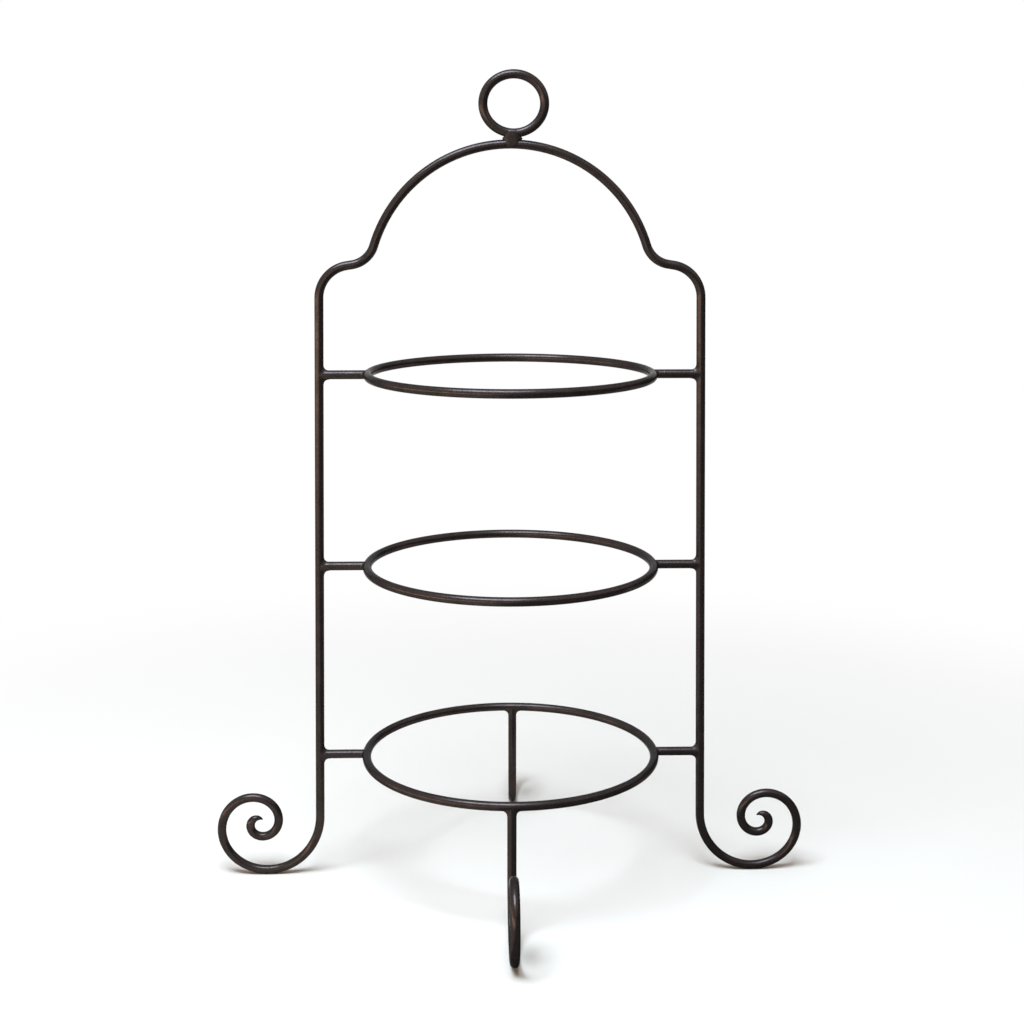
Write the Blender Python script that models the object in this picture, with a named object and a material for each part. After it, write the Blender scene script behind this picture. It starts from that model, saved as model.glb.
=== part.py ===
"""Three-tier plate rack, bent and welded from one gauge of round iron rod.

Metres, +Z up. The origin lies on the table, under the middle of the rack. The frame stands in the
plane Y = 0, its uprights at -X and +X, and the front leg points to -Y.
"""
import math

import bmesh
import bpy
from mathutils import Matrix, Vector

# Rod and clearances
ROD_D = 0.00635
GAP = 0.0003
FOOT_FLAT = 0.0004

# Tiers: height of each plate ring's centre line above the table
LOWER_TIER_Z = 0.0920
MIDDLE_TIER_Z = 0.2336
UPPER_TIER_Z = 0.3722

# Uprights: distance of their axes from the middle at the middle tier, and their lean
UPRIGHT_X = 0.1374
UPRIGHT_LEAN = math.radians(0.95)
ARM_REACH = 0.0344

# Shoulders and arch
ARCH_TOP_Z = 0.5326
SHOULDER_Z = 0.4458
SHOULDER_SLOPE = math.radians(9.2)
SHOULDER_FLAT = 0.0041
SHOULDER_BEND_R = 0.0232
NECK_BEND_R = 0.0193

# Scroll feet: the bend tightens from the start radius to the tip radius
SCROLL_START_R = 0.0455
SCROLL_TIP_R = 0.0050
SCROLL_TURN = math.radians(665.0)
SCROLL_FALL = 1.8
TAPER_TURN = math.radians(130.0)
TIP_D = 0.0012

# Legs: how far right of the middle they are welded to the lower ring, and how far right their feet turn
FRONT_LEG_X = -0.0016
FRONT_FOOT_TURN = math.radians(0.5)
BACK_LEG_X = 0.0039
BACK_FOOT_TURN = math.radians(1.4)

# Carry ring: a little wider than high, so its sides lie further out than its radius
# It stands a little to the right of the arch's top
CARRY_RING_R = 0.0200
CARRY_OVAL = 0.0013
CARRY_SHIFT = 0.0023
CARRY_WEB = 0.0005
CARRY_WELD_W = 0.0165
CARRY_WELD_T = 0.0057

# Weld fillets
FILLET_LENGTH = 0.0042
FILLET_FLARE = 0.0030
FILLET_WALL = 0.0008
FILLET_LIP = 0.0003

# Facets
ROD_SIDES = 10
BEND_STEP = math.radians(11.0)
RING_STEPS = 60
CARRY_STEPS = 36
WELD_SIDES = 12
WELD_STEPS = 3
CUTTER_SIDES = 20
SHARP_ANGLE = math.radians(50.0)

# Finish: satin bronze-black paint over iron, and the same paint over rougher weld metal
ROD_COLOUR = (0.032, 0.026, 0.024, 1.0)
ROD_ROUGHNESS = 0.42
WELD_COLOUR = (0.036, 0.027, 0.024, 1.0)
WELD_ROUGHNESS = 0.55
PAINT_METALLIC = 0.0

# Worked out from the sizes above
ROD_R = ROD_D / 2
TIP_R = TIP_D / 2
SEAT = ROD_R + GAP
TIERS = (("lower", LOWER_TIER_Z), ("middle", MIDDLE_TIER_Z), ("upper", UPPER_TIER_Z))
SIDES = (("left", -1.0), ("right", 1.0))
FRAME_NORMAL = Vector((0.0, 1.0, 0.0))
UP = Vector((0.0, 0.0, 1.0))


def upright_x(height):
    """Distance of an upright's axis from the middle at a height."""
    return UPRIGHT_X - (height - MIDDLE_TIER_Z) * math.tan(UPRIGHT_LEAN)


def ring_radius(height):
    """Radius of a plate ring's centre line: the ring ends one arm's reach inside the uprights."""
    return upright_x(height) - ARM_REACH


def clear_scene():
    for obj in list(bpy.data.objects):
        bpy.data.objects.remove(obj, do_unlink=True)


def paint(name, colour, roughness):
    """One coat of paint as a material."""
    material = bpy.data.materials.new(name)
    material.use_nodes = True
    shader = material.node_tree.nodes["Principled BSDF"]
    shader.inputs["Base Color"].default_value = colour
    shader.inputs["Roughness"].default_value = roughness
    shader.inputs["Metallic"].default_value = PAINT_METALLIC
    return material


def add_piece(name, bm, colour, roughness):
    """Turns a bmesh into a named object with its own material, shaded smooth across its facets."""
    bmesh.ops.recalc_face_normals(bm, faces=bm.faces[:])
    mesh = bpy.data.meshes.new(name)
    bm.to_mesh(mesh)
    bm.free()
    mesh.shade_smooth()
    mesh.set_sharp_from_angle(angle=SHARP_ANGLE)
    mesh.materials.append(paint(name + "_paint", colour, roughness))
    piece = bpy.data.objects.new(name, mesh)
    bpy.context.collection.objects.link(piece)
    return piece


def add_rod(name, bm):
    return add_piece(name, bm, ROD_COLOUR, ROD_ROUGHNESS)


def add_cutter(name, bm):
    """A helper that only cuts clearance into a weld."""
    cutter = add_piece(name, bm, WELD_COLOUR, WELD_ROUGHNESS)
    cutter.hide_render = True
    cutter.display_type = "WIRE"
    return cutter


def cut(piece, cutter):
    modifier = piece.modifiers.new("clear_" + cutter.name, "BOOLEAN")
    modifier.operation = "DIFFERENCE"
    modifier.solver = "EXACT"
    modifier.object = cutter


def basis(centre, x_axis, y_axis, z_axis):
    """Placing matrix with these three unit axes and this origin."""
    turn = Matrix((x_axis, y_axis, z_axis)).transposed()
    return Matrix.Translation(centre) @ turn.to_4x4()


def arc_points(centre, radius, start, end):
    """Points along an arc in (x, z), start and end angles counted from +Z towards +X."""
    count = max(2, math.ceil(abs(end - start) / BEND_STEP))
    angles = [start + (end - start) * i / count for i in range(count + 1)]
    return [(centre[0] + radius * math.sin(a), centre[1] + radius * math.cos(a)) for a in angles]


def scroll(lean):
    """Scroll from its first bend to its tip as (out, down, rod radius), heading down at the lean."""
    count = math.ceil((SCROLL_TURN - lean) / BEND_STEP)
    step = (SCROLL_TURN - lean) / count
    out, down = 0.0, 0.0
    stations = [(out, down, ROD_R)]
    for i in range(count):
        heading = lean + (i + 0.5) * step
        left = 1.0 - heading / SCROLL_TURN
        bend = SCROLL_TIP_R + (SCROLL_START_R - SCROLL_TIP_R) * left**SCROLL_FALL
        chord = 2.0 * bend * math.sin(step / 2)
        out += chord * math.sin(heading)
        down += chord * math.cos(heading)
        drawn = max(0.0, 1.0 - (SCROLL_TURN - heading - step / 2) / TAPER_TURN)
        stations.append((out, down, TIP_R + (ROD_R - TIP_R) * (1.0 - drawn**2)))
    return stations


def scroll_start_z(stations):
    """Height of the first bend that stands the foot's flat on the table."""
    return max(down for _, down, _ in stations) + ROD_R - FOOT_FLAT


def half_frame():
    """Arch radius, and the frame from the top of the arch to the right foot as (x, z, rod radius)."""
    lean, slope = UPRIGHT_LEAN, SHOULDER_SLOPE
    corner_x = upright_x(SHOULDER_Z)
    along = (math.cos(slope), -math.sin(slope))
    above = (math.sin(slope), math.cos(slope))
    # The shoulder bend turns the rod from the shoulder line down into the upright
    trim = SHOULDER_BEND_R * math.tan((math.pi / 2 - slope - lean) / 2)
    bend_x = corner_x - trim * along[0] - SHOULDER_BEND_R * above[0]
    bend_z = SHOULDER_Z - trim * along[1] - SHOULDER_BEND_R * above[1]
    # The neck bend starts one flat further in, and touches the arch from outside
    neck_x = corner_x - (trim + SHOULDER_FLAT) * along[0] + NECK_BEND_R * above[0]
    neck_z = SHOULDER_Z - (trim + SHOULDER_FLAT) * along[1] + NECK_BEND_R * above[1]
    top = ARCH_TOP_Z + NECK_BEND_R
    arch_z = (top**2 - neck_x**2 - neck_z**2) / (2.0 * (top - neck_z))
    arch_r = ARCH_TOP_Z - arch_z
    spring = math.atan2(neck_x, neck_z - arch_z)
    path = arc_points((0.0, arch_z), arch_r, 0.0, spring)
    path += arc_points((neck_x, neck_z), NECK_BEND_R, spring - math.pi, slope - math.pi)[1:]
    path += arc_points((bend_x, bend_z), SHOULDER_BEND_R, slope, math.pi / 2 - lean)
    foot = scroll(lean)
    start_z = scroll_start_z(foot)
    stations = [(x, z, ROD_R) for x, z in path]
    stations += [(upright_x(start_z) + out, start_z - down, r) for out, down, r in foot]
    return arch_r, stations


def sweep(stations, normal):
    """A rod through (point, radius) stations that lie in one plane, closed at both ends."""
    count = len(stations)
    places = []
    for i, (point, radius) in enumerate(stations):
        ahead = stations[min(i + 1, count - 1)][0] - point
        behind = point - stations[max(i - 1, 0)][0]
        heading = (ahead.normalized() + behind.normalized()).normalized()
        side = normal.cross(heading)
        places.append(basis(point, side, normal, heading) @ Matrix.Scale(radius, 4))
    half_side = Matrix.Rotation(math.pi / ROD_SIDES, 4, "Z")
    bm = bmesh.new()
    bmesh.ops.create_circle(
        bm, cap_ends=True, segments=ROD_SIDES, radius=1.0, matrix=places[0] @ half_side
    )
    edges = bm.edges[:]
    for before, after in zip(places, places[1:]):
        made = bmesh.ops.extrude_edge_only(bm, edges=edges)["geom"]
        edges = [item for item in made if isinstance(item, bmesh.types.BMEdge)]
        verts = [item for item in made if isinstance(item, bmesh.types.BMVert)]
        edges = [edge for edge in edges if all(vert in verts for vert in edge.verts)]
        bmesh.ops.transform(bm, matrix=after @ before.inverted(), verts=verts)
    bmesh.ops.edgeloop_fill(bm, edges=edges)
    return bm


def flatten_feet(bm):
    """Dresses the rod flat where it stands on the table."""
    everything = bm.verts[:] + bm.edges[:] + bm.faces[:]
    made = bmesh.ops.bisect_plane(
        bm, geom=everything, plane_co=(0.0, 0.0, 0.0), plane_no=(0.0, 0.0, -1.0), clear_outer=True
    )["geom_cut"]
    rim = [item for item in made if isinstance(item, bmesh.types.BMEdge)]
    bmesh.ops.holes_fill(bm, edges=rim, sides=0)


def ring(radius, rod_radius, steps, sides, place, oval=0.0):
    """A closed ring of round rod about the local Z axis, with flat facets above and below.

    oval is how much further out the ring's sides lie along its X axis.
    """
    bm = bmesh.new()
    section = (
        Matrix.Translation((radius, 0.0, 0.0))
        @ Matrix.Rotation(math.pi / 2, 4, "X")
        @ Matrix.Rotation(math.pi / sides, 4, "Z")
    )
    bmesh.ops.create_circle(bm, segments=sides, radius=rod_radius, matrix=section)
    bmesh.ops.spin(
        bm,
        geom=bm.verts[:] + bm.edges[:],
        cent=(0.0, 0.0, 0.0),
        axis=(0.0, 0.0, 1.0),
        angle=2.0 * math.pi,
        steps=steps,
        use_merge=True,
    )
    for vert in bm.verts:
        vert.co.x += oval * vert.co.x / math.hypot(vert.co.x, vert.co.y)
    bmesh.ops.transform(bm, matrix=place, verts=bm.verts[:])
    return bm


def straight_rod(start, end, radius, sides):
    """A rod with square-cut ends between two points."""
    heading = (end - start).normalized()
    place = Matrix.Translation((start + end) / 2) @ heading.to_track_quat("Z", "Y").to_matrix().to_4x4()
    bm = bmesh.new()
    bmesh.ops.create_cone(
        bm,
        cap_ends=True,
        segments=sides,
        radius1=radius,
        radius2=radius,
        depth=(end - start).length,
        matrix=place,
    )
    return bm


def clear_radius(radius):
    """Radius of a many-sided cutter whose flats, not its corners, lie at the radius."""
    return radius / math.cos(math.pi / CUTTER_SIDES)


def fillet_weld(name, joint, outward, along, bow):
    """Weld collar round a rod's end, flared along the rod that it meets and saddled over it.

    joint lies on the axis of the rod that is met, outward points along the rod's end, along follows the
    met rod, and bow is how far the met rod curves away over the flare.
    """
    side = outward.cross(along)
    place = basis(joint, along, side, outward)
    bore = ROD_R + GAP
    foot = ROD_R / 2
    top = SEAT + FILLET_LENGTH
    loops = []
    for i in range(WELD_STEPS + 1):
        share = i / WELD_STEPS
        flare = FILLET_FLARE * (1.0 - share) ** 2
        wall = FILLET_WALL + (FILLET_LIP - FILLET_WALL) * share
        loops.append((foot + (top - foot) * share, bore + wall + flare, bore + wall))
    loops += [(top, bore, bore), (foot, bore, bore)]
    stretched = [
        place @ Matrix.Translation((0.0, 0.0, height)) @ Matrix.Diagonal((wide, deep, 1.0, 1.0))
        for height, wide, deep in loops
    ]
    bm = bmesh.new()
    bmesh.ops.create_circle(bm, segments=WELD_SIDES, radius=1.0, matrix=stretched[0])
    first = bm.edges[:]
    edges = first
    for before, after in zip(stretched, stretched[1:]):
        made = bmesh.ops.extrude_edge_only(bm, edges=edges)["geom"]
        verts = [item for item in made if isinstance(item, bmesh.types.BMVert)]
        edges = [item for item in made if isinstance(item, bmesh.types.BMEdge)]
        edges = [edge for edge in edges if all(vert in verts for vert in edge.verts)]
        bmesh.ops.transform(bm, matrix=after @ before.inverted(), verts=verts)
    bmesh.ops.bridge_loops(bm, edges=first + edges)
    weld = add_piece(name, bm, WELD_COLOUR, WELD_ROUGHNESS)
    reach = 2.0 * (ROD_D + FILLET_FLARE)
    groove = clear_radius(SEAT + bow)
    cutter = straight_rod(joint - along * reach, joint + along * reach, groove, CUTTER_SIDES)
    cut(weld, add_cutter(name + "_groove", cutter))


def ring_bow(radius):
    """How far a ring's rod curves away from straight over half a weld's width."""
    half = SEAT + FILLET_WALL + FILLET_FLARE
    return radius - math.sqrt(radius**2 - half**2)


def build_frame_rod():
    _, right = half_frame()
    left = [(-x, z, r) for x, z, r in reversed(right[1:])]
    stations = [(Vector((x, 0.0, z)), r) for x, z, r in left + right]
    bm = sweep(stations, FRAME_NORMAL)
    flatten_feet(bm)
    add_rod("frame_rod", bm)


def build_plate_ring(tier, height):
    place = Matrix.Translation((0.0, 0.0, height))
    add_rod(tier + "_plate_ring", ring(ring_radius(height), ROD_R, RING_STEPS, ROD_SIDES, place))


def build_arm(tier, height, side, sign):
    """One arm with the welds at both its ends."""
    name = f"{tier}_{side}"
    radius = ring_radius(height)
    outward = Vector((sign, 0.0, 0.0))
    ring_end = outward * radius + UP * height
    upright_end = outward * upright_x(height) + UP * height
    start = ring_end + outward * SEAT
    end = upright_end - outward * SEAT
    add_rod(name + "_arm", straight_rod(start, end, ROD_R, ROD_SIDES))
    down_upright = Vector((sign * math.sin(UPRIGHT_LEAN), 0.0, -math.cos(UPRIGHT_LEAN)))
    level = FRAME_NORMAL.cross(down_upright) * sign
    fillet_weld(name + "_upright_weld", upright_end, level, down_upright, 0.0)
    fillet_weld(name + "_ring_weld", ring_end, outward, FRAME_NORMAL, ring_bow(radius))


def build_leg(name, sign, right, turn):
    """A leg under the lower ring's front or back, with its weld and a scroll foot turned to the right."""
    foot = scroll(0.0)
    radius = ring_radius(LOWER_TIER_Z)
    swing = math.asin(right / radius)
    below_ring = Vector((radius * math.sin(swing), sign * radius * math.cos(swing), 0.0))
    along_ring = Vector((math.cos(swing), -sign * math.sin(swing), 0.0))
    joint = below_ring + UP * LOWER_TIER_Z
    start = below_ring + UP * scroll_start_z(foot)
    ahead = Vector((math.sin(turn), sign * math.cos(turn), 0.0))
    stations = [(joint - UP * SEAT, ROD_R)]
    stations += [(start + ahead * out - UP * down, r) for out, down, r in foot]
    bm = sweep(stations, ahead.cross(UP) * sign)
    flatten_feet(bm)
    add_rod(name, bm)
    fillet_weld(name + "_weld", joint, -UP, along_ring, ring_bow(radius))


def build_carry_ring():
    """The carry ring standing on the arch, and the weld in the wedge between the two."""
    arch_r, _ = half_frame()
    stand = Matrix.Rotation(math.pi / 2, 4, "X")
    centre_z = ARCH_TOP_Z + 2.0 * SEAT + CARRY_WEB + CARRY_RING_R
    ring_place = Matrix.Translation((CARRY_SHIFT, 0.0, centre_z)) @ stand
    arch_place = Matrix.Translation((0.0, 0.0, ARCH_TOP_Z - arch_r)) @ stand
    add_rod("carry_ring", ring(CARRY_RING_R, ROD_R, CARRY_STEPS, ROD_SIDES, ring_place, CARRY_OVAL))
    low = ARCH_TOP_Z
    high = centre_z - CARRY_RING_R
    block = Matrix.Translation((CARRY_SHIFT / 2, 0.0, (low + high) / 2))
    block = block @ Matrix.Diagonal((CARRY_WELD_W, CARRY_WELD_T, high - low, 1.0))
    bm = bmesh.new()
    bmesh.ops.create_cube(bm, size=1.0, matrix=block)
    weld = add_piece("carry_ring_weld", bm, WELD_COLOUR, WELD_ROUGHNESS)
    groove = clear_radius(SEAT)
    above = ring(CARRY_RING_R, groove, CARRY_STEPS, CUTTER_SIDES, ring_place, CARRY_OVAL)
    below = ring(arch_r, groove, RING_STEPS, CUTTER_SIDES, arch_place)
    cut(weld, add_cutter("carry_ring_groove", above))
    cut(weld, add_cutter("arch_groove", below))


def main():
    clear_scene()
    build_frame_rod()
    build_carry_ring()
    for tier, height in TIERS:
        build_plate_ring(tier, height)
        for side, sign in SIDES:
            build_arm(tier, height, side, sign)
    build_leg("front_leg", -1.0, FRONT_LEG_X, FRONT_FOOT_TURN)
    build_leg("back_leg", 1.0, BACK_LEG_X, BACK_FOOT_TURN)


main()
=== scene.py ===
"""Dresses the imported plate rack: smooth bent rods, blended welds, satin coat, pale studio and camera.

Laid out as a Blender add-on and run as a script. Metres, +Z up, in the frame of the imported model: the
rack's frame stands in the plane Y = 0 and its front leg points to -Y.
"""
import math
from collections import namedtuple

import bmesh
import bpy
from bpy.props import FloatProperty, FloatVectorProperty, PointerProperty
from mathutils import Euler, Matrix, Vector


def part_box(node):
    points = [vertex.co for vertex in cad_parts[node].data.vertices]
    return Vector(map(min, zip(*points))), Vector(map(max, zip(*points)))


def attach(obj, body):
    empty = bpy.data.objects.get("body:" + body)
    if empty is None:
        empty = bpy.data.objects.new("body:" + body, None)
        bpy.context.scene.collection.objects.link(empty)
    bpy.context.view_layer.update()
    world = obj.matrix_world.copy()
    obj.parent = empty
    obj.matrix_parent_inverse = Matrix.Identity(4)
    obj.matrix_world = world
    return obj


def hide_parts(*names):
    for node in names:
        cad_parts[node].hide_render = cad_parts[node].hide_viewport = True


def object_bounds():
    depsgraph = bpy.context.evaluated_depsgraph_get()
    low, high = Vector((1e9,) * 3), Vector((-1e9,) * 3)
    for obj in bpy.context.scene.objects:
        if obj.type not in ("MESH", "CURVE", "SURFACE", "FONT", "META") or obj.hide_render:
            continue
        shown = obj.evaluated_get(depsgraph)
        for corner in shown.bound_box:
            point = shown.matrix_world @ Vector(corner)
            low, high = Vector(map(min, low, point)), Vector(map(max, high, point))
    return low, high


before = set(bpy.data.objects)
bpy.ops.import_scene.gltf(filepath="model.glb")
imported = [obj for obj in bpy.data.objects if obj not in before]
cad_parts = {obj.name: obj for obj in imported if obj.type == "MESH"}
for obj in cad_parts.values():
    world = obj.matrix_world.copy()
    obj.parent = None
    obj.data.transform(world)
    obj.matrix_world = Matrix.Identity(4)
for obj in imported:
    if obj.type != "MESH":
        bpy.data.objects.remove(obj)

bl_info = {
    "name": "Plate rack dresser",
    "version": (1, 0, 0),
    "blender": (4, 5, 0),
    "location": "3D View > Sidebar > Plate rack",
    "description": "Dresses a plate rack of bent iron rod and sets it in a pale studio",
    "category": "Object",
}

CAD_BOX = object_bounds()
BODY = "root"

TIERS = ("lower", "middle", "upper")
SIDES = (("left", -1.0), ("right", 1.0))
LEGS = (("front", -1.0), ("back", 1.0))

Y_AXIS = Vector((0.0, 1.0, 0.0))
Z_AXIS = Vector((0.0, 0.0, 1.0))

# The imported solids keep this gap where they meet
SOLID_GAP = 0.0003
# The paper lies this far below the feet's flats, and the card on the floor this far above them
SHEET_GAP = 0.0003

# Fineness of the dressed meshes
ROD_SIDES = 36
BEND_STEP = math.radians(2.5)
PLATE_RING_STEPS = 240
CARRY_RING_STEPS = 120
TIP_STEPS = 5
ARM_STEPS = 8
WELD_SIDES = 72
WELD_STEPS = 10
NECK_STEPS = 28
PAPER_SIDES = 96
CARD_STEPS = 24
SHARP_ANGLE = math.radians(42.0)

# A rod's end is sunk into the rod that it meets, to this share of a radius from that rod's axis
SUNK_END = 0.25

# A fillet weld's edges lie just under the rods' surfaces, and its back lies inside them, in rod radii
WELD_EDGE = 0.996
WELD_BACK = 0.75
# Power by which a fillet's reach grows from the rods' sides to the corner
WELD_GROWTH = 0.8
# Softness of the swing from the corner before a rod's end to the corner behind it
WELD_SWING = 0.04
# Ripples of the weld metal: share, waves round the rod's end, and shifts by the seed and across the weld
WELD_RIPPLES = ((0.6, 5, 1.0, 0.0), (0.4, 13, 2.7, 4.0))
WELD_SEED_STEP = 1.7

# Powers that shape the carry ring's weld: rounded ends, square section, and run-out to front and back
NECK_ENDS = 6
NECK_SQUARE = 0.5
NECK_RUN_OUT = 4
# Share of its width that is left at its ends, and half the height of its wider part in rod radii
NECK_LEAST = 0.02
NECK_GAP = 0.45
# Its unevenness: share of its width and waves round it, and in radians where these start and how far they
# turn from its middle to its ends
NECK_LUMP = 0.03
NECK_WAVES_ROUND = 3
NECK_WAVES_START = 1.3
NECK_WAVES_UP = 5

# Between which values of its noise the coat turns brown, flecked or glossier
BROWN_FROM, BROWN_TO = 0.35, 0.68
FLECK_FROM, FLECK_TO = 0.58, 0.80
GLOSS_FROM, GLOSS_TO = 0.30, 0.70
# How strong a fleck gets, and how far the roughness swings to either side
FLECK_MOST = 0.7
GLOSS_SWING = 0.05
# Weld metal has deeper waves than drawn rod, by this factor
WELD_WAVES = 2.0

# Tooth of the paper
PAPER_GRAIN = 0.004
PAPER_TOOTH = 0.0001
PAPER_TOOTH_STRENGTH = 0.2

# Sockets of the Mix node when it mixes colours
MIX_FIRST, MIX_SECOND, MIX_RESULT = 6, 7, 2

Tier = namedtuple("Tier", "height radius upright")
Joint = namedtuple("Joint", "node reach point outward along bow")


def linear(colour_hex):
    """An sRGB hex colour as linear red, green and blue."""
    shares = [int(colour_hex[i : i + 2], 16) / 255 for i in (1, 3, 5)]
    return tuple(c / 12.92 if c <= 0.04045 else ((c + 0.055) / 1.055) ** 2.4 for c in shares)


def length(name, description, default):
    return FloatProperty(name=name, description=description, default=default, unit="LENGTH", precision=5)


def angle(name, description, degrees):
    radians = math.radians(degrees)
    return FloatProperty(name=name, description=description, default=radians, subtype="ANGLE")


def share(name, description, default):
    return FloatProperty(
        name=name, description=description, default=default, min=0, max=1, subtype="FACTOR"
    )


def amount(name, description, default, unit="NONE"):
    return FloatProperty(name=name, description=description, default=default, unit=unit)


def colour(name, description, default):
    return FloatVectorProperty(
        name=name, description=description, default=linear(default), subtype="COLOR", min=0, max=1
    )


def size(name, description, default):
    return FloatVectorProperty(name=name, description=description, default=default, size=2, unit="LENGTH")


def place(name, description, default):
    return FloatVectorProperty(name=name, description=description, default=default, subtype="TRANSLATION")


class RackSizes(bpy.types.PropertyGroup):
    """Shapes that the bent rods follow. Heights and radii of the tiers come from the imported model."""

    rod_diameter: length("Rod diameter", "Round iron rod that every piece is bent from", 0.00635)
    shoulder_height: length("Shoulder height", "Where shoulder line and upright would cross", 0.4458)
    shoulder_slope: angle("Shoulder slope", "Fall of the shoulder towards the upright", 9.2)
    shoulder_flat: length("Shoulder flat", "Straight rod between neck bend and shoulder bend", 0.0041)
    shoulder_bend: length("Shoulder bend", "Bend radius from the shoulder into the upright", 0.0232)
    neck_bend: length("Neck bend", "Bend radius from the arch into the shoulder", 0.0193)
    scroll_start: length("Scroll start radius", "Bend radius where a scroll leaves its leg", 0.0455)
    scroll_tip: length("Scroll tip radius", "Bend radius at the scroll's tip", 0.0050)
    scroll_turn: angle("Scroll turn", "How far the rod turns from leg to tip", 665.0)
    scroll_fall: amount("Scroll fall", "How fast the bend tightens", 1.8)
    taper_turn: angle("Taper turn", "End of the turn, over which the rod is drawn to a point", 130.0)
    tip_diameter: length("Tip diameter", "Thickness of the drawn point", 0.0012)
    foot_flat: length("Foot flat", "Depth dressed off where a scroll stands on the table", 0.0004)
    front_leg: length("Front leg", "How far right of the middle the front leg is welded on", -0.0016)
    front_foot_turn: angle("Front foot turn", "How far the front foot is turned to the right", 0.5)
    back_leg: length("Back leg", "How far right of the middle the back leg is welded on", 0.0039)
    back_foot_turn: angle("Back foot turn", "How far the back foot is turned to the right", 1.4)
    fillet: length("Fillet", "Reach of a weld along both rods that it joins", 0.0044)
    ring_fillet: length("Ring fillet", "Reach of the smaller welds between arms and rings", 0.0022)
    weld_lip: length("Weld lip", "Reach of a weld at the rods' sides, where it runs out", 0.0003)
    weld_lump: length("Weld lump", "Unevenness of the weld metal", 0.0002)
    neck_pad_width: length("Neck pad width", "Width of the weld over the carry ring and arch", 0.0100)
    neck_width: length("Neck width", "Width of the weld in the gap between carry ring and arch", 0.0140)
    neck_height: length("Neck height", "Height of the weld over the carry ring and arch", 0.0137)
    neck_proud: length("Neck proud", "How far that weld stands out from the rods", 0.00015)


class RackFinish(bpy.types.PropertyGroup):
    """Colours and texture of the coat."""

    coat_dark: colour("Coat dark", "Thick coat, nearly black", "#2f2926")
    coat_brown: colour("Coat brown", "Thin coat, where bronze brown shows", "#3c322f")
    coat_fleck: colour("Coat fleck", "Fine flecks in the coat", "#564b45")
    coat_edge: colour("Coat edge", "How much of its mirror the coat keeps at low angles", "#8c8886")
    coat_metal: share("Coat metal", "Share of bronze powder in the coat", 0.75)
    coat_gloss: share("Coat gloss", "Strength of the varnish's mirror, 0.5 for clear varnish", 0.4)
    rod_roughness: share("Rod roughness", "Satin of the coat on smooth rod", 0.25)
    weld_roughness: share("Weld roughness", "Duller coat on weld metal", 0.38)
    mottle_size: length("Mottle size", "Width of brown and dark patches", 0.0110)
    wave_size: length("Wave size", "Spacing of shallow waves that drawing leaves in the rod", 0.0050)
    wave_depth: length("Wave depth", "Depth of those waves", 0.00006)
    peel_size: length("Peel size", "Spacing of the coat's orange peel", 0.0011)
    peel_depth: length("Peel depth", "Depth of the orange peel", 0.00002)
    fleck_size: length("Fleck size", "Spacing of the flecks", 0.0008)


class RackStudio(bpy.types.PropertyGroup):
    """Paper floor, soft lights, the card that the rods mirror, and the camera."""

    floor_colour: colour("Floor", "Pale paper, warm enough to look neutral in the cool light", "#f4e0cc")
    backdrop_colour: colour("Backdrop", "White that the paper fades into", "#ffffff")
    floor_fade: length("Floor fade", "Distance from the rack at which the paper starts to fade", 0.28)
    floor_white: length("Floor white", "Distance from the rack at which the paper is lost in white", 0.90)
    floor_size: length("Floor size", "Radius of the paper", 6.0)
    fill_colour: colour("Fill", "Dim light of the room", "#fff8f0")
    fill_strength: amount("Fill strength", "Brightness of the room", 0.22)
    sky_colour: colour("Sky colour", "Overhead soft light", "#c8e3ff")
    sky_brightness: amount("Sky brightness", "Brightness of the overhead soft light", 1.8)
    sky_place: place("Sky place", "Middle of the overhead soft light", (-0.45, -0.45, 2.65))
    sky_size: size("Sky size", "Overhead soft light across and along", (1.9, 2.6))
    core_brightness: amount("Core brightness", "Brightness of its part that draws highlights", 19.5)
    core_place: place("Core place", "Middle of the part that draws highlights", (-0.47, -0.95, 2.40))
    core_size: size("Core size", "Part that draws highlights across and along", (1.65, 1.02))
    side_colour: colour("Side colour", "Soft light from the left", "#ffe2c0")
    side_brightness: amount("Side brightness", "Brightness of the soft light from the left", 4.4)
    side_place: place("Side place", "Middle of the soft light at the left", (-1.90, -1.28, 0.20))
    side_size: size("Side size", "Left soft light across and up", (4.8, 0.5))
    card_colour: colour("Card", "Grey card that the rods mirror at the front and right", "#6a6764")
    card_radius: length("Card radius", "Distance of the standing card from the rack", 2.2)
    card_height: length("Card height", "Height of the standing card", 1.15)
    card_inside: length("Card inside", "Where the card on the floor begins", 0.05)
    lying_from: angle("Lying from", "Where the card on the floor starts, counted from the right", -100.0)
    lying_to: angle("Lying to", "Where the card on the floor ends, counted from the right", 5.0)
    standing_from: angle("Standing from", "Where the standing card starts, counted from the right", -85.0)
    standing_to: angle("Standing to", "Where the standing card ends, counted from the right", 58.0)
    lens: amount("Lens", "Focal length in millimetres", 59.73, "CAMERA")
    camera_place: place("Camera", "Where the camera stands", (-0.0285, -1.1933, 0.5251))
    camera_pitch: angle("Camera pitch", "How far the camera looks down", 9.779)
    camera_pan: angle("Camera pan", "How far the camera looks to the right", 1.420)
    camera_shift: amount("Shift", "Lens shift, in image widths", -0.06269)


# Materials


def add_node(tree, kind, values=(), links=(), **settings):
    """Adds a node with its settings, its sockets' values and the links that feed them."""
    node = tree.nodes.new(kind)
    for name, value in settings.items():
        setattr(node, name, value)
    for socket, value in dict(values).items():
        node.inputs[socket].default_value = value
    for socket, source in dict(links).items():
        tree.links.new(source, node.inputs[socket])
    return node


def new_material(name):
    """An empty material, as (material, its tree, its output node)."""
    material = bpy.data.materials.new(name)
    material.use_nodes = True
    material.node_tree.nodes.clear()
    return material, material.node_tree, add_node(material.node_tree, "ShaderNodeOutputMaterial")


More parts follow.
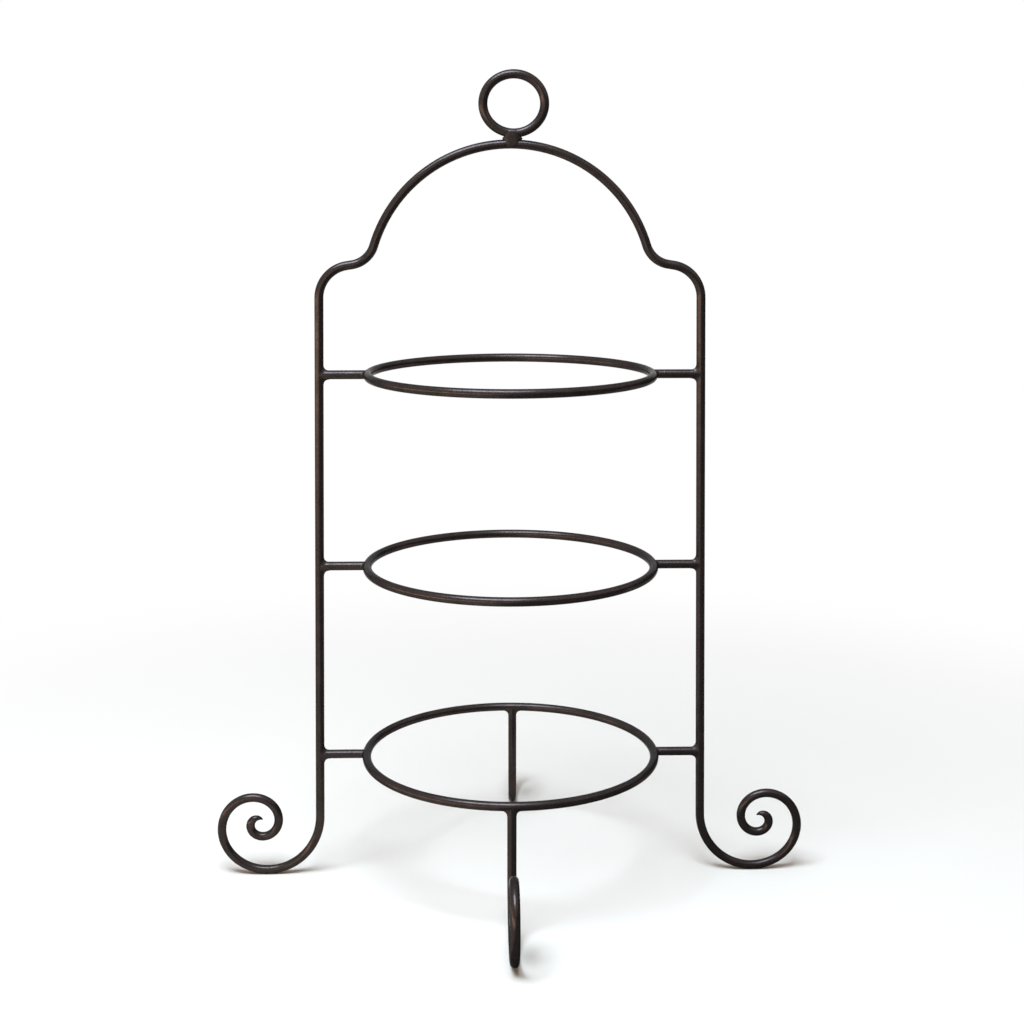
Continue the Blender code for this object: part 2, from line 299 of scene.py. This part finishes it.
def coat_material(name, finish, roughness, wave_depth):
    """Bronze-black lacquer, dipped over drawn iron rod and dried satin.

    Bronze powder gives the coat a dark metal's gloss, and the varnish over it keeps that gloss dim at low
    angles. The coat pools unevenly, so it shifts between near black and bronze brown over about a
    centimetre. Shallow waves in the rod make the edges of its highlights waver, and a fine orange peel
    and paler flecks break them up. The flecks and the peel are drawn coarser than the real ones, to show
    at all.
    """
    material, tree, output = new_material(name)
    where = {"Vector": add_node(tree, "ShaderNodeTexCoord").outputs["Object"]}
    mottle = add_node(
        tree,
        "ShaderNodeTexNoise",
        {"Scale": 1 / finish.mottle_size, "Detail": 4, "Roughness": 0.6},
        where,
    )
    brown = add_node(
        tree,
        "ShaderNodeMapRange",
        {"From Min": BROWN_FROM, "From Max": BROWN_TO},
        {"Value": mottle.outputs["Fac"]},
    )
    body = add_node(
        tree,
        "ShaderNodeMix",
        {MIX_FIRST: (*finish.coat_dark, 1), MIX_SECOND: (*finish.coat_brown, 1)},
        {0: brown.outputs["Result"]},
        data_type="RGBA",
    )
    speck = add_node(
        tree,
        "ShaderNodeTexNoise",
        {"Scale": 1 / finish.fleck_size, "Detail": 1, "Roughness": 0.5},
        where,
    )
    fleck = add_node(
        tree,
        "ShaderNodeMapRange",
        {"From Min": FLECK_FROM, "From Max": FLECK_TO, "To Max": FLECK_MOST},
        {"Value": speck.outputs["Fac"]},
    )
    flecked = add_node(
        tree,
        "ShaderNodeMix",
        {MIX_SECOND: (*finish.coat_fleck, 1)},
        {0: fleck.outputs["Result"], MIX_FIRST: body.outputs[MIX_RESULT]},
        data_type="RGBA",
    )
    gloss = add_node(
        tree,
        "ShaderNodeMapRange",
        {
            "From Min": GLOSS_FROM,
            "From Max": GLOSS_TO,
            "To Min": roughness + GLOSS_SWING,
            "To Max": roughness - GLOSS_SWING,
        },
        {"Value": mottle.outputs["Fac"]},
    )
    waves = add_node(
        tree,
        "ShaderNodeTexNoise",
        {"Scale": 1 / finish.wave_size, "Detail": 2, "Roughness": 0.45},
        where,
    )
    peel = add_node(tree, "ShaderNodeTexNoise", {"Scale": 1 / finish.peel_size, "Detail": 1}, where)
    waved = add_node(
        tree, "ShaderNodeBump", {"Strength": 1, "Distance": wave_depth}, {"Height": waves.outputs["Fac"]}
    )
    peeled = add_node(
        tree,
        "ShaderNodeBump",
        {"Strength": 1, "Distance": finish.peel_depth},
        {"Height": peel.outputs["Fac"], "Normal": waved.outputs["Normal"]},
    )
    coat = add_node(
        tree,
        "ShaderNodeBsdfPrincipled",
        {
            "Metallic": finish.coat_metal,
            "IOR": 1.5,
            "Specular IOR Level": finish.coat_gloss,
            "Specular Tint": (*finish.coat_edge, 1),
        },
        {
            "Base Color": flecked.outputs[MIX_RESULT],
            "Roughness": gloss.outputs["Result"],
            "Normal": peeled.outputs["Normal"],
        },
    )
    tree.links.new(coat.outputs["BSDF"], output.inputs["Surface"])
    return material


def rod_coat(finish):
    """The coat on smooth rod: satin, with clean highlights."""
    name = "satin_bronze_black_lacquer_on_drawn_iron"
    known = bpy.data.materials.get(name)
    return known or coat_material(name, finish, finish.rod_roughness, finish.wave_depth)


def weld_coat(finish):
    """The same coat on weld metal, which is rougher and lets it dry duller."""
    name = "dull_bronze_black_lacquer_on_weld_metal"
    known = bpy.data.materials.get(name)
    return known or coat_material(name, finish, finish.weld_roughness, WELD_WAVES * finish.wave_depth)


def paper_material(studio):
    """Matt white paper, which keeps the rack's shadow and fades into a white backdrop further out.

    Its tooth, drawn coarser than the real one, keeps the paper from looking like plastic.
    """
    material, tree, output = new_material("matt_white_backdrop_paper")
    where = add_node(tree, "ShaderNodeTexCoord").outputs["Object"]
    grain = add_node(
        tree, "ShaderNodeTexNoise", {"Scale": 1 / PAPER_GRAIN, "Detail": 3}, {"Vector": where}
    )
    tooth = add_node(
        tree,
        "ShaderNodeBump",
        {"Strength": PAPER_TOOTH_STRENGTH, "Distance": PAPER_TOOTH},
        {"Height": grain.outputs["Fac"]},
    )
    sheet = add_node(
        tree,
        "ShaderNodeBsdfDiffuse",
        {"Color": (*studio.floor_colour, 1)},
        {"Normal": tooth.outputs["Normal"]},
    )
    white = add_node(tree, "ShaderNodeEmission", {"Color": (*studio.backdrop_colour, 1), "Strength": 1})
    distance = add_node(tree, "ShaderNodeVectorMath", (), {0: where}, operation="LENGTH")
    fade = add_node(
        tree,
        "ShaderNodeMapRange",
        {"From Min": studio.floor_fade, "From Max": studio.floor_white},
        {"Value": distance.outputs["Value"]},
        interpolation_type="SMOOTHSTEP",
    )
    shown = add_node(
        tree,
        "ShaderNodeMath",
        (),
        {0: fade.outputs["Result"], 1: seen_directly(tree)},
        operation="MULTIPLY",
    )
    mixed = add_node(
        tree,
        "ShaderNodeMixShader",
        (),
        {0: shown.outputs["Value"], 1: sheet.outputs["BSDF"], 2: white.outputs["Emission"]},
    )
    tree.links.new(mixed.outputs["Shader"], output.inputs["Surface"])
    return material


def seen_directly(tree):
    """1 for rays that show the background as it looks: to the camera, mirrored, or through glass."""
    path = add_node(tree, "ShaderNodeLightPath").outputs
    mirrored = add_node(
        tree,
        "ShaderNodeMath",
        (),
        {0: path["Is Glossy Ray"], 1: path["Is Transmission Ray"]},
        operation="MAXIMUM",
    )
    seen = add_node(
        tree,
        "ShaderNodeMath",
        (),
        {0: path["Is Camera Ray"], 1: mirrored.outputs["Value"]},
        operation="MAXIMUM",
    )
    return seen.outputs["Value"]


def card_material(studio):
    """Matt grey studio card, which takes the white out of what the rods mirror."""
    material, tree, output = new_material("matt_grey_studio_card")
    card = add_node(
        tree, "ShaderNodeBsdfPrincipled", {"Base Color": (*studio.card_colour, 1), "Roughness": 1.0}
    )
    tree.links.new(card.outputs["BSDF"], output.inputs["Surface"])
    return material


# Mesh tools


def basis(centre, x_axis, y_axis, z_axis):
    """Placing matrix with these three unit axes and this origin."""
    turn = Matrix((x_axis, y_axis, z_axis)).transposed()
    return Matrix.Translation(centre) @ turn.to_4x4()


def extrude_loop(bm, edges):
    """Extrudes a loop of edges in place, and gives the new loop's edges and vertices."""
    made = bmesh.ops.extrude_edge_only(bm, edges=edges)["geom"]
    verts = {item for item in made if isinstance(item, bmesh.types.BMVert)}
    new_edges = [item for item in made if isinstance(item, bmesh.types.BMEdge)]
    return [edge for edge in new_edges if verts.issuperset(edge.verts)], list(verts)


def swept_rod(stations, normal):
    """A round rod through (point, radius) stations of a flat path, closed at both ends."""
    count = len(stations)
    places = []
    for i, (point, radius) in enumerate(stations):
        ahead = stations[min(i + 1, count - 1)][0] - point
        behind = point - stations[max(i - 1, 0)][0]
        heading = (ahead.normalized() + behind.normalized()).normalized()
        places.append(basis(point, normal.cross(heading), normal, heading) @ Matrix.Scale(radius, 4))
    bm = bmesh.new()
    bmesh.ops.create_circle(bm, cap_ends=True, segments=ROD_SIDES, radius=1.0, matrix=places[0])
    edges = bm.edges[:]
    for before, after in zip(places, places[1:]):
        edges, verts = extrude_loop(bm, edges)
        bmesh.ops.transform(bm, matrix=after @ before.inverted(), verts=verts)
    bmesh.ops.edgeloop_fill(bm, edges=edges)
    return bm


def turned_ring(radius, rod_radius, steps, where, oval=0.0):
    """A closed ring of round rod about the local Z axis.

    oval is how much further out the ring's sides lie along its X axis.
    """
    bm = bmesh.new()
    section = Matrix.Translation((radius, 0.0, 0.0)) @ Matrix.Rotation(math.pi / 2, 4, "X")
    bmesh.ops.create_circle(bm, segments=ROD_SIDES, radius=rod_radius, matrix=section)
    bmesh.ops.spin(
        bm,
        geom=bm.verts[:] + bm.edges[:],
        cent=(0.0, 0.0, 0.0),
        axis=(0.0, 0.0, 1.0),
        angle=2.0 * math.pi,
        steps=steps,
        use_merge=True,
    )
    for vert in bm.verts:
        vert.co.x += oval * vert.co.x / math.hypot(vert.co.x, vert.co.y)
    bmesh.ops.transform(bm, matrix=where, verts=bm.verts[:])
    return bm


def tube_of_loops(sides, levels):
    """A unit tube whose loops lie at heights 0, 1, 2 and so on, with its first and last edges."""
    bm = bmesh.new()
    bmesh.ops.create_circle(bm, segments=sides, radius=1.0)
    first = bm.edges[:]
    edges = first
    for _ in range(levels):
        edges, verts = extrude_loop(bm, edges)
        bmesh.ops.translate(bm, vec=(0.0, 0.0, 1.0), verts=verts)
    return bm, first, edges


def dress_feet(bm):
    """Cuts the rod flat where it stands on the table."""
    everything = bm.verts[:] + bm.edges[:] + bm.faces[:]
    made = bmesh.ops.bisect_plane(
        bm, geom=everything, plane_co=(0.0, 0.0, 0.0), plane_no=(0.0, 0.0, -1.0), clear_outer=True
    )["geom_cut"]
    rims = [item for item in made if isinstance(item, bmesh.types.BMEdge)]
    bmesh.ops.holes_fill(bm, edges=rims, sides=0)


def add_object(name, bm, material):
    """Turns a bmesh into an object at the origin, smooth across its facets."""
    bmesh.ops.recalc_face_normals(bm, faces=bm.faces[:])
    mesh = bpy.data.meshes.new(name)
    bm.to_mesh(mesh)
    bm.free()
    mesh.shade_smooth()
    mesh.set_sharp_from_angle(angle=SHARP_ANGLE)
    mesh.materials.append(material)
    made = bpy.data.objects.new(name, mesh)
    bpy.context.scene.collection.objects.link(made)
    return made


def add_piece(name, bm, material, node):
    """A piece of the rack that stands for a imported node."""
    piece = add_object(name, bm, material)
    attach(piece, BODY)
    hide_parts(node)
    return piece


# Where things are


class RackPlan:
    """Places of the rack's rods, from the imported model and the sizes."""

    def __init__(self, sizes):
        self.sizes = sizes
        self.rod = sizes.rod_diameter / 2
        self.tiers = {name: self.tier(name) for name in TIERS}
        low, high = self.tiers[TIERS[0]], self.tiers[TIERS[-1]]
        self.lean = math.atan2(low.upright - high.upright, high.height - low.height)
        self.arch_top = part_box("frame_rod")[1].z - self.rod
        carry_low, carry_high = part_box("carry_ring")
        self.carry_radius = (carry_high.z - carry_low.z) / 2 - self.rod
        self.carry_oval = (carry_high.x - carry_low.x) / 2 - self.rod - self.carry_radius
        self.carry_centre = (carry_low + carry_high) / 2

    def tier(self, name):
        low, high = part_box(f"{name}_plate_ring")
        arm_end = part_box(f"{name}_right_arm")[1].x
        return Tier((low.z + high.z) / 2, high.x - self.rod, arm_end + self.rod + SOLID_GAP)

    def upright_x(self, height):
        """Distance of an upright's axis from the middle at a height."""
        low = self.tiers[TIERS[0]]
        return low.upright - (height - low.height) * math.tan(self.lean)

    def scroll(self, lean):
        """Scroll from its first bend to its tip as (out, down, rod radius), heading down at the lean."""
        sizes = self.sizes
        tip = sizes.tip_diameter / 2
        count = math.ceil((sizes.scroll_turn - lean) / BEND_STEP)
        step = (sizes.scroll_turn - lean) / count
        out, down = 0.0, 0.0
        stations = [(out, down, self.rod)]
        for i in range(count):
            heading = lean + (i + 0.5) * step
            left = (1.0 - heading / sizes.scroll_turn) ** sizes.scroll_fall
            bend = sizes.scroll_tip + (sizes.scroll_start - sizes.scroll_tip) * left
            chord = 2.0 * bend * math.sin(step / 2)
            out += chord * math.sin(heading)
            down += chord * math.cos(heading)
            drawn = max(0.0, 1.0 - (sizes.scroll_turn - heading - step / 2) / sizes.taper_turn)
            stations.append((out, down, tip + (self.rod - tip) * (1.0 - drawn**2)))
        # The point is rounded off, to half a step from its very end
        end_out, end_down = math.sin(sizes.scroll_turn), math.cos(sizes.scroll_turn)
        for i in range(1, TIP_STEPS + 1):
            turn = i * math.pi / 2 / (TIP_STEPS + 0.5)
            ahead = tip * math.sin(turn)
            stations.append((out + ahead * end_out, down + ahead * end_down, tip * math.cos(turn)))
        return stations

    def scroll_start(self, stations):
        """Height of the first bend that stands the foot's flat on the table."""
        return max(down for _, down, _ in stations) + self.rod - self.sizes.foot_flat

    def leg(self, name, sign):
        """Directions from the rack's middle to a leg, and from the leg to the end of its foot."""
        sizes = self.sizes
        right, turn = {
            "front": (sizes.front_leg, sizes.front_foot_turn),
            "back": (sizes.back_leg, sizes.back_foot_turn),
        }[name]
        swing = math.asin(right / self.tiers[TIERS[0]].radius)
        radial = Vector((math.sin(swing), sign * math.cos(swing), 0.0))
        return radial, Vector((math.sin(turn), sign * math.cos(turn), 0.0))

    def half_frame(self):
        """The frame from the top of its arch to the right scroll's tip as (x, z, rod radius)."""
        sizes, lean, slope = self.sizes, self.lean, self.sizes.shoulder_slope
        corner_x, corner_z = self.upright_x(sizes.shoulder_height), sizes.shoulder_height
        along = (math.cos(slope), -math.sin(slope))
        above = (math.sin(slope), math.cos(slope))
        # The shoulder bend turns the rod from the shoulder line down into the upright
        trim = sizes.shoulder_bend * math.tan((math.pi / 2 - slope - lean) / 2)
        bend_x = corner_x - trim * along[0] - sizes.shoulder_bend * above[0]
        bend_z = corner_z - trim * along[1] - sizes.shoulder_bend * above[1]
        # The neck bend starts one flat further in, and touches the arch from outside
        inset = trim + sizes.shoulder_flat
        neck_x = corner_x - inset * along[0] + sizes.neck_bend * above[0]
        neck_z = corner_z - inset * along[1] + sizes.neck_bend * above[1]
        top = self.arch_top + sizes.neck_bend
        arch_z = (top**2 - neck_x**2 - neck_z**2) / (2.0 * (top - neck_z))
        spring = math.atan2(neck_x, neck_z - arch_z)
        path = arc((0.0, arch_z), self.arch_top - arch_z, 0.0, spring)
        path += arc((neck_x, neck_z), sizes.neck_bend, spring - math.pi, slope - math.pi)[1:]
        path += arc((bend_x, bend_z), sizes.shoulder_bend, slope, math.pi / 2 - lean)
        foot = self.scroll(lean)
        start = self.scroll_start(foot)
        stations = [(x, z, self.rod) for x, z in path]
        return stations + [(self.upright_x(start) + out, start - down, r) for out, down, r in foot]


def arc(centre, radius, start, end):
    """Points along an arc in (x, z), start and end angles counted from +Z towards +X."""
    count = max(2, math.ceil(abs(end - start) / BEND_STEP))
    angles = [start + (end - start) * i / count for i in range(count + 1)]
    return [(centre[0] + radius * math.sin(a), centre[1] + radius * math.cos(a)) for a in angles]


# Welds


def weld_fillet(plan, joint, seed):
    """Weld metal in the corner where a rod's end meets another rod of the same thickness.

    The joint's point lies on the axis of the rod that is met. Outward points along the rod's end, along
    follows the met rod, and bow is how the met rod curves away, per square of the distance along it. The
    weld is widest in the corner before and behind the rod's end, and runs out at the rods' sides.
    """
    rod, lip, lump = plan.rod, plan.sizes.weld_lip, plan.sizes.weld_lump
    outward, along = joint.outward, joint.along
    side = outward.cross(along)
    bm, first, last = tube_of_loops(WELD_SIDES, WELD_STEPS + 1)
    bmesh.ops.bridge_loops(bm, edges=first + last)
    for vert in bm.verts:
        turn = math.atan2(vert.co.y, vert.co.x)
        level = round(vert.co.z)
        ahead, across = math.cos(turn), math.sin(turn)
        facing = ahead / (abs(ahead) + WELD_SWING)
        corner = outward * (rod * abs(ahead)) + along * (rod * ahead) + side * (rod * across)
        spread = lip + (joint.reach - lip) * abs(ahead) ** WELD_GROWTH
        if level > WELD_STEPS:
            point = corner * WELD_BACK
        else:
            t = level / WELD_STEPS
            on_end = corner * WELD_EDGE + outward * spread
            on_met = corner * WELD_EDGE + along * (spread * facing)
            point = (1 - t) ** 2 * on_end + 2 * t * (1 - t) * corner + t**2 * on_met
            ripple = sum(
                part * math.sin(waves * turn + by_seed * seed + across_weld * t)
                for part, waves, by_seed, across_weld in WELD_RIPPLES
            )
            point += (outward + along * facing) * (lump * ripple * 4 * t * (1 - t) * abs(ahead))
            point += joint.bow * (point.dot(along) ** 2 * t)
        vert.co = joint.point + point
    return bm


def neck_weld(plan):
    """The pad of weld metal over the carry ring's foot and the arch's top, which fills between them."""
    sizes = plan.sizes
    middle = (plan.arch_top + plan.carry_centre.z - plan.carry_radius) / 2
    between = plan.carry_centre.x / 2
    half_height = sizes.neck_height / 2
    bm, first, last = tube_of_loops(WELD_SIDES, NECK_STEPS)
    bmesh.ops.edgeloop_fill(bm, edges=first)
    bmesh.ops.edgeloop_fill(bm, edges=last)
    for vert in bm.verts:
        turn = math.atan2(vert.co.y, vert.co.x)
        right, back = math.cos(turn), math.sin(turn)
        rise = math.sin((vert.co.z / NECK_STEPS - 0.5) * math.pi)
        height = middle + rise * half_height
        round_off = math.sqrt(max(0.0, 1.0 - abs(rise) ** NECK_ENDS)) + NECK_LEAST
        in_gap = math.exp(-(((height - middle) / (NECK_GAP * plan.rod)) ** 2))
        wide = sizes.neck_pad_width / 2 * round_off
        wide += (sizes.neck_width - sizes.neck_pad_width) / 2 * in_gap * right**NECK_RUN_OUT
        deep = (plan.rod + sizes.neck_proud) * round_off
        waves = math.sin(NECK_WAVES_ROUND * turn + NECK_WAVES_START) * math.cos(NECK_WAVES_UP * rise)
        x = math.copysign(abs(right) ** NECK_SQUARE, right) * wide * (1.0 + NECK_LUMP * waves)
        y = math.copysign(abs(back) ** NECK_SQUARE, back) * deep
        vert.co = (between + x, y, height)
    return bm


# Operators


class RACK_OT_frame_rod(bpy.types.Operator):
    """Bends the frame: arch, shoulders, uprights and side scrolls in one rod"""

    bl_idname = "rack.frame_rod"
    bl_label = "Frame rod"

    def execute(self, context):
        plan = RackPlan(context.scene.rack_sizes)
        right = plan.half_frame()
        left = [(-x, z, r) for x, z, r in reversed(right[1:])]
        bm = swept_rod([(Vector((x, 0.0, z)), r) for x, z, r in left + right], Y_AXIS)
        dress_feet(bm)
        add_piece("painted_frame_rod", bm, rod_coat(context.scene.rack_finish), "frame_rod")
        return {"FINISHED"}


class RACK_OT_plate_rings(bpy.types.Operator):
    """Closes the three rings that hold the plates"""

    bl_idname = "rack.plate_rings"
    bl_label = "Plate rings"

    def execute(self, context):
        plan = RackPlan(context.scene.rack_sizes)
        coat = rod_coat(context.scene.rack_finish)
        for name, tier in plan.tiers.items():
            where = Matrix.Translation((0.0, 0.0, tier.height))
            bm = turned_ring(tier.radius, plan.rod, PLATE_RING_STEPS, where)
            add_piece(f"painted_{name}_plate_ring", bm, coat, f"{name}_plate_ring")
        return {"FINISHED"}


class RACK_OT_arms(bpy.types.Operator):
    """Cuts the short arms between rings and uprights"""

    bl_idname = "rack.arms"
    bl_label = "Arms"

    def execute(self, context):
        plan = RackPlan(context.scene.rack_sizes)
        coat = rod_coat(context.scene.rack_finish)
        sunk = plan.rod * SUNK_END
        for name, tier in plan.tiers.items():
            for side, sign in SIDES:
                start = Vector((sign * (tier.radius + sunk), 0.0, tier.height))
                end = Vector((sign * (tier.upright - sunk), 0.0, tier.height))
                steps = [start.lerp(end, i / ARM_STEPS) for i in range(ARM_STEPS + 1)]
                bm = swept_rod([(point, plan.rod) for point in steps], Y_AXIS)
                add_piece(f"painted_{name}_{side}_arm", bm, coat, f"{name}_{side}_arm")
        return {"FINISHED"}


class RACK_OT_legs(bpy.types.Operator):
    """Bends the front and back legs with their scrolls"""

    bl_idname = "rack.legs"
    bl_label = "Legs"

    def execute(self, context):
        plan = RackPlan(context.scene.rack_sizes)
        coat = rod_coat(context.scene.rack_finish)
        tier = plan.tiers[TIERS[0]]
        foot = plan.scroll(0.0)
        start = plan.scroll_start(foot)
        for name, sign in LEGS:
            radial, ahead = plan.leg(name, sign)
            at_ring = radial * tier.radius
            stations = [(at_ring + Z_AXIS * (tier.height - plan.rod * SUNK_END), plan.rod)]
            for out, down, radius in foot:
                stations.append((at_ring + ahead * out + Z_AXIS * (start - down), radius))
            bm = swept_rod(stations, ahead.cross(Z_AXIS) * sign)
            dress_feet(bm)
            add_piece(f"painted_{name}_leg", bm, coat, f"{name}_leg")
        return {"FINISHED"}


class RACK_OT_carry_ring(bpy.types.Operator):
    """Closes the carry ring and welds it to the arch"""

    bl_idname = "rack.carry_ring"
    bl_label = "Carry ring"

    def execute(self, context):
        plan = RackPlan(context.scene.rack_sizes)
        finish = context.scene.rack_finish
        where = Matrix.Translation(plan.carry_centre) @ Matrix.Rotation(math.pi / 2, 4, "X")
        bm = turned_ring(plan.carry_radius, plan.rod, CARRY_RING_STEPS, where, plan.carry_oval)
        add_piece("painted_carry_ring", bm, rod_coat(finish), "carry_ring")
        weld = neck_weld(plan)
        add_piece("painted_carry_ring_weld", weld, weld_coat(finish), "carry_ring_weld")
        return {"FINISHED"}


class RACK_OT_fillet_welds(bpy.types.Operator):
    """Fills the corners where arms and legs are welded on"""

    bl_idname = "rack.fillet_welds"
    bl_label = "Fillet welds"

    def execute(self, context):
        plan = RackPlan(context.scene.rack_sizes)
        coat = weld_coat(context.scene.rack_finish)
        joints = [*self.arm_joints(plan), *self.leg_joints(plan)]
        for number, joint in enumerate(joints, 1):
            bm = weld_fillet(plan, joint, number * WELD_SEED_STEP)
            add_piece(f"painted_{joint.node}", bm, coat, joint.node)
        return {"FINISHED"}

    def arm_joints(self, plan):
        """Where every arm meets its upright, which is straight there, and its ring, which curves away."""
        straight = Vector((0.0, 0.0, 0.0))
        for name, tier in plan.tiers.items():
            for side, sign in SIDES:
                arm = f"{name}_{side}"
                outward = Vector((sign, 0.0, 0.0))
                down = Vector((sign * math.sin(plan.lean), 0.0, -math.cos(plan.lean)))
                inward = Y_AXIS.cross(down) * sign
                upright = outward * tier.upright + Z_AXIS * tier.height
                at_ring = outward * tier.radius + Z_AXIS * tier.height
                away = -outward / (2.0 * tier.radius)
                yield Joint(f"{arm}_upright_weld", plan.sizes.fillet, upright, inward, down, straight)
                yield Joint(f"{arm}_ring_weld", plan.sizes.ring_fillet, at_ring, outward, Y_AXIS, away)

    def leg_joints(self, plan):
        """Where both legs meet the lower ring from below."""
        low = plan.tiers[TIERS[0]]
        for name, sign in LEGS:
            radial, _ = plan.leg(name, sign)
            at_ring = radial * low.radius + Z_AXIS * low.height
            along = radial.cross(Z_AXIS) * sign
            away = -radial / (2.0 * low.radius)
            yield Joint(f"{name}_leg_weld", plan.sizes.fillet, at_ring, -Z_AXIS, along, away)


class RACK_OT_studio(bpy.types.Operator):
    """Lays the paper, hangs the lights and stands the camera"""

    bl_idname = "rack.studio"
    bl_label = "Studio"

    def execute(self, context):
        studio = context.scene.rack_studio
        self.lay_paper(studio)
        self.stand_card(studio)
        self.light_room(context.scene, studio)
        self.stand_camera(context.scene, studio)
        context.scene.view_settings.view_transform = "Standard"
        return {"FINISHED"}

    def lay_paper(self, studio):
        bm = bmesh.new()
        under = Matrix.Translation((0.0, 0.0, -SHEET_GAP))
        bmesh.ops.create_circle(
            bm, cap_ends=True, segments=PAPER_SIDES, radius=studio.floor_size, matrix=under
        )
        add_object("paper_floor", bm, paper_material(studio))

    def stand_card(self, studio):
        """Grey card, lying and standing at the front and right, that shows only in the rods' gloss."""
        inside, outside = studio.card_inside, studio.card_radius
        low, high = SHEET_GAP, studio.card_height
        bm = bmesh.new()
        for start, end, first_point, last_point in (
            (studio.lying_from, studio.lying_to, (inside, 0.0, low), (outside, 0.0, low)),
            (studio.standing_from, studio.standing_to, (outside, 0.0, low), (outside, 0.0, high)),
        ):
            verts = [bm.verts.new(first_point), bm.verts.new(last_point)]
            edge = bm.edges.new(verts)
            turn = Matrix.Rotation(start, 3, "Z")
            bmesh.ops.rotate(bm, cent=(0.0, 0.0, 0.0), matrix=turn, verts=verts)
            bmesh.ops.spin(
                bm,
                geom=[*verts, edge],
                cent=(0.0, 0.0, 0.0),
                axis=(0.0, 0.0, 1.0),
                angle=end - start,
                steps=CARD_STEPS,
            )
        card = add_object("grey_card", bm, card_material(studio))
        card.visible_camera = False
        card.visible_diffuse = False
        card.visible_shadow = False

    def light_room(self, scene, studio):
        world = bpy.data.worlds.new("studio_room")
        scene.world = world
        world.use_nodes = True
        tree = world.node_tree
        tree.nodes.clear()
        fill = add_node(
            tree,
            "ShaderNodeBackground",
            {"Color": (*studio.fill_colour, 1), "Strength": studio.fill_strength},
        )
        white = add_node(
            tree,
            "ShaderNodeBackground",
            {"Color": (*studio.backdrop_colour, 1), "Strength": 1},
        )
        mixed = add_node(
            tree,
            "ShaderNodeMixShader",
            (),
            {0: seen_directly(tree), 1: fill.outputs["Background"], 2: white.outputs["Background"]},
        )
        add_node(tree, "ShaderNodeOutputWorld", (), {"Surface": mixed.outputs["Shader"]})
        sky, core, side = studio.sky_brightness, studio.core_brightness, studio.side_brightness
        for name, where, extent, tint, brightness in (
            ("overhead_soft_light", studio.sky_place, studio.sky_size, studio.sky_colour, sky),
            ("overhead_core", studio.core_place, studio.core_size, studio.sky_colour, core),
            ("left_soft_light", studio.side_place, studio.side_size, studio.side_colour, side),
        ):
            self.soft_light(name, Vector(where), extent, tint, brightness)

    def soft_light(self, name, where, extent, tint, brightness):
        """A rectangle of even light, turned to the middle of the rack. Its power grows with its area."""
        data = bpy.data.lights.new(name, "AREA")
        data.shape = "RECTANGLE"
        data.size, data.size_y = extent
        data.color = tint
        data.energy = brightness * math.pi * extent[0] * extent[1]
        light = bpy.data.objects.new(name, data)
        light.location = where
        aim = (CAD_BOX[0] + CAD_BOX[1]) / 2
        light.rotation_euler = (aim - where).to_track_quat("-Z", "Y").to_euler()
        light.visible_camera = False
        bpy.context.scene.collection.objects.link(light)

    def stand_camera(self, scene, studio):
        data = bpy.data.cameras.new("photo_camera")
        data.lens = studio.lens
        data.shift_y = studio.camera_shift
        camera = bpy.data.objects.new("photo_camera", data)
        camera.location = studio.camera_place
        camera.rotation_euler = Euler((math.pi / 2 - studio.camera_pitch, 0.0, -studio.camera_pan))
        scene.collection.objects.link(camera)
        scene.camera = camera


class RACK_PT_sidebar(bpy.types.Panel):
    """Lists the rack's pieces, sizes and finish"""

    bl_idname = "RACK_PT_sidebar"
    bl_label = "Plate rack"
    bl_space_type = "VIEW_3D"
    bl_region_type = "UI"
    bl_category = "Plate rack"

    def draw(self, context):
        for group in (context.scene.rack_sizes, context.scene.rack_finish, context.scene.rack_studio):
            box = self.layout.box()
            for name in group.__annotations__:
                box.prop(group, name)
        for operator in OPERATORS:
            self.layout.operator(operator.bl_idname)


OPERATORS = (
    RACK_OT_frame_rod,
    RACK_OT_plate_rings,
    RACK_OT_arms,
    RACK_OT_legs,
    RACK_OT_carry_ring,
    RACK_OT_fillet_welds,
    RACK_OT_studio,
)
GROUPS = {"rack_sizes": RackSizes, "rack_finish": RackFinish, "rack_studio": RackStudio}
CLASSES = (*GROUPS.values(), *OPERATORS, RACK_PT_sidebar)


def register():
    for cls in CLASSES:
        bpy.utils.register_class(cls)
    for name, group in GROUPS.items():
        setattr(bpy.types.Scene, name, PointerProperty(type=group))


def unregister():
    for name in GROUPS:
        delattr(bpy.types.Scene, name)
    for cls in reversed(CLASSES):
        bpy.utils.unregister_class(cls)


def main():
    register()
    bpy.ops.rack.frame_rod()
    bpy.ops.rack.plate_rings()
    bpy.ops.rack.arms()
    bpy.ops.rack.legs()
    bpy.ops.rack.carry_ring()
    bpy.ops.rack.fillet_welds()
    bpy.ops.rack.studio()
    bpy.context.view_layer.update()


if __name__ == "__main__":
    main()
